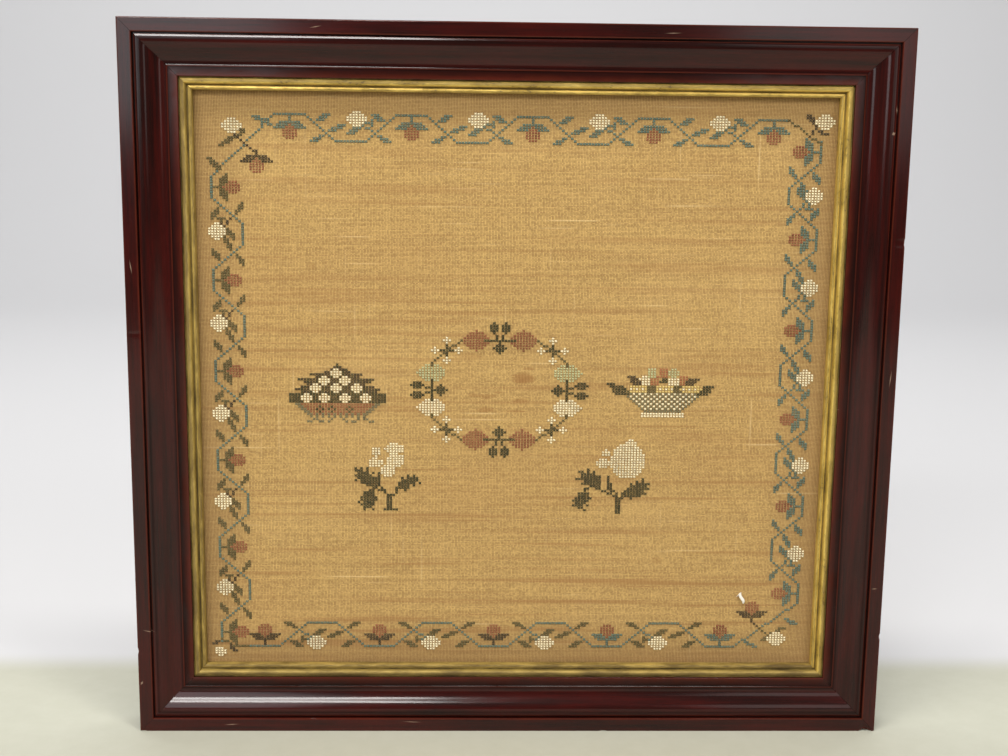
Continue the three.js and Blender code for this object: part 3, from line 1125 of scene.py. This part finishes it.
def stitched(crosses, thread, random):
    """All the crosses of one thread as one piece, from arrays of the two strands."""
    chosen = sizes()
    fine = thread in FINE_THREADS
    wide = chosen.fine_width if fine else chosen.strand_width
    reach = FINE_REACH if fine else STRAND_REACH
    under = strand(wide, chosen.strand_height, 2, UNDER_LIFT, 0.0)
    over = strand(wide, chosen.strand_height, 3, OVER_LIFT, OVER_CROWN)
    points, faces, lays, shades, offset = [], [], [], [], 0
    for column, row in crosses:
        x, z, face = on_linen(column, row)
        tone = 0.5 + 0.5 * noise.noise((x * 26, z * 26, 5.0)) + random.normal(0, TONE_SPREAD)
        for turn, (shape, polygons, lay) in ((1, under), (-1, over)):
            nudge = random.normal(0, NUDGE_SPREAD, 2)
            lean = random.normal(0, LEAN_SPREAD)
            run = np.array([CROSS_WIDTH, CROSS_HEIGHT * turn])
            run = run * (reach + random.normal(0, REACH_SPREAD))
            run = run + np.array([-run[1], run[0]]) * lean
            side = np.array([-run[1], run[0]]) / np.hypot(*run)
            side = side * (1 + random.normal(0, WIDTH_SPREAD))
            flat = np.outer(shape[:, 0], run) + np.outer(shape[:, 1], side)
            points.append(np.stack([
                x + nudge[0] + flat[:, 0], face - LINEN_PROUD - shape[:, 2],
                z + nudge[1] + flat[:, 1]], axis=1))
            lays.append(lay)
            # The under strand's value is lowered and the over strand's raised: painted shade beneath
            # the crossing strand, painted light on top of it.
            shades.append(np.full(len(shape), tone + (0.08 if turn < 0 else -0.08)))
            faces += [[offset + index for index in polygon] for polygon in polygons]
            offset += len(shape)
    name = "stitches_" + thread
    mesh = joined(name, points, faces)
    point_values(mesh, "lay", np.concatenate(lays))
    point_values(mesh, "shade", np.concatenate(shades))
    return dressed(mesh, name, thread_finish(thread), "linen", (), 75)


def needle_holes_painted_shade(crosses, random):
    """The gaps in the linen at the pale crosses' corners, where their thread passes through, as small
    dark pieces whose colour is painted shade.
    """
    halves = (-0.5, 0.5)
    corners = sorted({(c + a, r + b) for c, r in crosses for a in halves for b in halves})
    # Four points around the gap, one in front of it and one behind
    shape = np.array([(1, 0, 0), (0, 0, 1), (-1, 0, 0), (0, 0, -1), (0, -1, 0), (0, 1, 0)], float)
    ring = [(a, (a + 1) % 4) for a in range(4)]
    polygons = [(a, b, 4) for a, b in ring] + [(b, a, 5) for a, b in ring]
    wide = sizes().hole_width
    points, faces = [], []
    for index, (column, row) in enumerate(corners):
        x, z, face = on_linen(column, row)
        size = np.array([wide, HOLE_DEPTH, wide * 0.86]) / 2
        size = size * (1 + random.normal(0, HOLE_SPREAD))
        nudge = random.normal(0, HOLE_NUDGE, 3) * (1, 0, 1)
        points.append(shape * size + np.array([x, face, z]) + nudge)
        faces += [[6 * index + corner for corner in polygon] for polygon in polygons]
    # The brown of these pieces is painted shade inside the needle holes.
    dark = Finish("needle_hole_shade", roughness=1.0)
    dark.set("Base Color", dark.mix((92, 64, 30), (140, 102, 52), dark.noise(dark.place(), 700)))
    return dressed(joined("needle_holes_painted_shade", points, faces), "needle_holes_painted_shade", dark.material,
                   "linen", (), 30)


def thread_finish(name):
    """Old silk or wool thread: two-ply twist, with the dye faded unevenly, and painted shade in the
    ply's grooves and at the ends where the strand dives into the linen.
    """
    colour = getattr(colours(), name)
    thread = Finish("thread_" + name, roughness=0.88, sheen_weight=0.05)
    shade = thread.attribute("shade")
    aside, up, along = thread.split(thread.attribute("lay", "Vector"))
    turned = along * STRAND_TURNS
    ply = turned.math("SINE") * aside + turned.cos() * up
    groove = 1 - ply.step(-0.9, -0.2)
    fuzz = thread.noise(thread.place(), 1500)
    faded = thread.mix(colour, (206, 180, 132), 0.12)
    dark = thread.mix(colour, (30, 22, 12), 0.35)
    end_shade = thread.mix(colour, (58, 38, 18), 0.8)
    thread.set("Base Color", thread.coats(
        dark, (colour, (shade * 1.6 + fuzz * 0.3 - 0.1).clamp()),
        # The groove and end coats are painted shade: dark in the ply's grooves, and dark at the
        # strand's ends where it dives into the linen.
        (faded, (shade - 0.5).clamp() * 1.1), (dark, groove * 0.3),
        (end_shade, (abs(along) * 2).step(0.5, 1.0) * 0.7)))
    thread.bump(ply * 0.6 + fuzz * 0.4, 0.00006, 0.8)
    return thread.material


def lint():
    """The loose scrap of white thread that lies near the lower right corner, folded at its tip."""
    bm = rod(8, 24)
    for vertex in bm.verts:
        t = vertex.co.z + 0.5
        fold = max(0.0, t - 0.72) / 0.28
        x = 152.6 - 3.6 * t + 0.4 * math.sin(t * 9) - 1.6 * fold
        z = 83.0 + 9.6 * t - 5.0 * fold
        thick = 1.1 * (1 - 0.5 * (2 * t - 1) ** 6) * (1 - 0.45 * fold)
        deep = 1.15 + 0.4 * math.sin(t * 6.5)
        vertex.co = ((x + vertex.co.x * thick * 1.5) * MM,
                     LINEN_FRONT + (vertex.co.y * thick - deep) * MM, (z + vertex.co.x * thick) * MM)
    white = Finish("lint_white", roughness=0.85)
    fibres = white.noise(white.place(), (2600, 2600, 500), detail=3)
    white.set("Base Color", white.mix((205, 196, 178), (250, 247, 240), fibres))
    white.bump(fibres, 0.00015, 0.6)
    return dressed(meshed(bm, "loose_thread"), "loose_thread", white.material, "linen")


class SAMPLER_OT_stitches(bpy.types.Operator):
    bl_idname = "sampler.stitches"
    bl_label = "Cross stitches"

    def execute(self, context):
        chart = sampler_chart()
        random = np.random.default_rng(sizes().seed)
        pale = [place for place in chart if chart[place] in ("cream", "straw")]
        worked = [lint(), needle_holes_painted_shade(pale, random)]
        for name in THREADS:
            crosses = sorted(place for place, thread in chart.items() if thread == name)
            worked.append(stitched(crosses, name, random))
        return {"FINISHED"}


def board_finish():
    """Unpolished softwood gone brown, with saw marks and dust."""
    board = Finish("old_softwood", roughness=0.85)
    place = board.place()
    grain = board.noise(place, (6, 60, 190), detail=4, rough=0.6, twist=0.5)
    fine = board.noise(place, (30, 900, 1500))
    saw = board.noise(place, (420, 1, 8), detail=1)
    stain = board.noise(place, (5, 5, 7), detail=4)
    board.set("Base Color", board.coats(
        (96, 66, 38), (colours().board, (grain * 1.4 + fine * 0.3 - 0.3).clamp()),
        ((74, 54, 36), (stain - 0.5).clamp() * 1.5)))
    board.set("Roughness", (0.78 + fine * 0.2).clamp())
    board.bump(grain * 0.4 + fine * 0.3 + saw * 0.3, 0.0002, 0.6)
    return board.material


def iron_finish():
    """Grey iron with rust coming through."""
    iron = Finish("rusted_iron", roughness=0.6)
    rust = iron.noise(iron.place(), 700, detail=4, rough=0.7).step(0.42, 0.62)
    iron.set("Base Color", iron.mix(colours().iron, (112, 66, 40), rust))
    iron.set("Metallic", 0.8 - rust * 0.7)
    iron.bump(rust, 0.0001, 0.6)
    return iron.material


class SAMPLER_OT_backing(bpy.types.Operator):
    """Finishes the backboard and the sprigs that hold it"""

    bl_idname = "sampler.backing"
    bl_label = "Backboard and sprigs"

    def execute(self, context):
        low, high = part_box("backboard")
        bm = bmesh.new()
        bmesh.ops.create_cube(bm, size=1.0)
        bmesh.ops.scale(bm, verts=bm.verts, vec=high - low)
        bmesh.ops.translate(bm, verts=bm.verts, vec=(high + low) / 2)
        bmesh.ops.bevel(bm, geom=bm.edges[:], offset=0.6 * MM, offset_type="OFFSET", segments=2,
                        profile=0.5, affect="EDGES", material=-1)
        name = "backboard_softwood"
        dressed(meshed(bm, name), name, board_finish(), "board", ("backboard",))
        iron = iron_finish()
        for node in (n for name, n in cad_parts.items() if name.startswith("sprig_")):
            node.data.materials.clear()
            node.data.materials.append(iron)
        return {"FINISHED"}


def floor_finish():
    """A pale table, and a paler ground beyond it."""
    floor = Finish("studio_floor", roughness=0.7)
    spot = floor.place()
    table = floor.mix((176, 176, 160), (188, 188, 174), floor.noise(spot, 60, detail=5, rough=0.7))
    beyond = floor.split(spot)[1].step(0.085, 0.125)
    floor.set("Base Color", floor.mix(table, (205, 205, 207), beyond))
    return floor.material


def add_sweep():
    """A floor that bends up behind the frame into a backdrop."""
    bend = [(FLOOR_BACK + BEND * math.sin(a), BEND - BEND * math.cos(a))
            for a in np.linspace(0.1, math.pi / 2, 16)]
    profile = [(FLOOR_FRONT, 0.0), (FLOOR_BACK, 0.0), *bend, (FLOOR_BACK + BEND, BACKDROP_TOP)]
    bm = bmesh.new()
    corners = [bm.verts.new((-FLOOR_BREADTH / 2, y, z)) for y, z in profile]
    edges = [bm.edges.new(pair) for pair in zip(corners, corners[1:])]
    swept = bmesh.ops.extrude_edge_only(bm, edges=edges)["geom"]
    far = [v for v in swept if isinstance(v, bmesh.types.BMVert)]
    bmesh.ops.translate(bm, verts=far, vec=(FLOOR_BREADTH, 0, 0))
    mesh = meshed(bm, "studio_sweep")
    mesh.shade_smooth()
    mesh.materials.append(floor_finish())
    sweep = placed("studio_sweep", mesh)


def add_world(scene):
    """Dim light from all around, but a bright ground where the camera looks past the floor."""
    scene.world = bpy.data.worlds.new("studio_world")
    scene.world.use_nodes = True
    tree = scene.world.node_tree
    back = tree.nodes["Background"]
    rays = tree.nodes.new("ShaderNodeLightPath")
    seen = tree.nodes.new("ShaderNodeMapRange")
    tree.links.new(rays.outputs["Is Camera Ray"], seen.inputs[0])
    seen.inputs[3].default_value = WORLD_DIM
    seen.inputs[4].default_value = WORLD_SEEN
    tree.links.new(seen.outputs[0], back.inputs["Strength"])
    back.inputs["Color"].default_value = (1.0, 0.99, 0.96, 1.0)


def add_lights():
    for name, spot, aim, size, power, colour in LIGHTS:
        lamp = bpy.data.lights.new(name, "AREA")
        lamp.shape, lamp.size, lamp.size_y = "RECTANGLE", size[0], size[1]
        lamp.energy, lamp.color = power, colour
        light = placed(name, lamp)
        light.location = spot
        light.rotation_euler = (Vector(aim) - Vector(spot)).to_track_quat("-Z", "Y").to_euler()


def add_camera(scene):
    lens = bpy.data.cameras.new("photograph_view")
    lens.lens, lens.sensor_width = CAMERA_LENS, 36.0
    lens.clip_start, lens.clip_end = 0.05, 100.0
    scene.camera = placed("photograph_view", lens)
    scene.camera.location = CAMERA_PLACE
    scene.camera.rotation_euler = [math.radians(a) for a in CAMERA_TURN]


class SAMPLER_OT_stage(bpy.types.Operator):
    """Makes the pale floor, the soft studio light and the camera"""

    bl_idname = "sampler.stage"
    bl_label = "Studio stage"

    def execute(self, context):
        context.scene.view_settings.view_transform = "Standard"
        add_sweep()
        add_world(context.scene)
        add_lights()
        add_camera(context.scene)
        return {"FINISHED"}


# The stage in metres: the floor, and the bend that carries it up to the backdrop
FLOOR_FRONT, FLOOR_BACK = -1.6, 2.0
FLOOR_BREADTH = 16.0
BEND = 1.5
BACKDROP_TOP = 6.0
# The world's strength: how it lights the model, and how the camera sees it
WORLD_DIM, WORLD_SEEN = 0.06, 0.80
# The camera of the photograph's view: metres, degrees, and the focal length in millimetres
CAMERA_PLACE = (-0.03408, -0.89640, 0.39868)
CAMERA_TURN = (79.4844, -0.7410, -1.6211)
CAMERA_LENS = 51.3875
# Name, place, aim, size in metres, power in watts and colour of each soft light
LIGHTS = [
    ("overhead", (-0.1, -0.6, 2.2), (0, 0, 0.2), (1.5, 0.3), 31.0, (1.0, 0.97, 0.92)),
    ("key_left", (-1.7, -2.0, 1.55), (0, 0, 0.2), (0.9, 0.9), 27.0, (1.0, 0.98, 0.95)),
    ("key_right", (1.7, -2.0, 1.65), (0, 0, 0.2), (0.9, 0.9), 27.0, (1.0, 0.98, 0.95)),
    ("window_left", (-0.8, -2.6, 1.15), (0, 0, 0.3), (0.75, 1.7), 12.0, (0.94, 0.97, 1.0)),
    ("window_right", (0.85, -2.6, 0.9), (0, 0, 0.3), (0.5, 1.2), 3.0, (1.0, 0.97, 0.93)),
    ("shine", (-0.42, -1.65, 1.6), (-0.2, 0, 0.44), (0.66, 0.2), 14.0, (1.0, 0.98, 0.95)),
    ("sweep_wash", (0.0, 0.9, 2.7), (0, 3.0, 0.3), (4.0, 0.8), 82.0, (1.0, 1.0, 1.0)),
]


class SAMPLER_PT_panel(bpy.types.Panel):
    """Lists the sampler's sizes, colours and builders"""

    bl_idname = "SAMPLER_PT_panel"
    bl_label = "Cross stitch sampler"
    bl_space_type = "VIEW_3D"
    bl_region_type = "UI"
    bl_category = "Sampler"

    def draw(self, context):
        for group in (context.scene.sampler_sizes, context.scene.sampler_colours):
            box = self.layout.box()
            for name in group.bl_rna.properties.keys():
                if name not in ("rna_type", "name"):
                    box.prop(group, name)
        for operator in BUILDERS:
            self.layout.operator(operator.bl_idname)


BUILDERS = (
    SAMPLER_OT_stage,
    SAMPLER_OT_rails,
    SAMPLER_OT_slips,
    SAMPLER_OT_linen,
    SAMPLER_OT_stitches,
    SAMPLER_OT_backing,
)
CLASSES = (SamplerColours, SamplerSizes, *BUILDERS, SAMPLER_PT_panel)


def register():
    for each in CLASSES:
        bpy.utils.register_class(each)
    bpy.types.Scene.sampler_colours = PointerProperty(type=SamplerColours)
    bpy.types.Scene.sampler_sizes = PointerProperty(type=SamplerSizes)


def unregister():
    del bpy.types.Scene.sampler_sizes
    del bpy.types.Scene.sampler_colours
    for each in reversed(CLASSES):
        bpy.utils.unregister_class(each)


def main():
    register()
    bpy.ops.sampler.stage()
    bpy.ops.sampler.rails()
    bpy.ops.sampler.slips()
    bpy.ops.sampler.linen()
    bpy.ops.sampler.stitches()
    bpy.ops.sampler.backing()


if __name__ == "__main__":
    main()
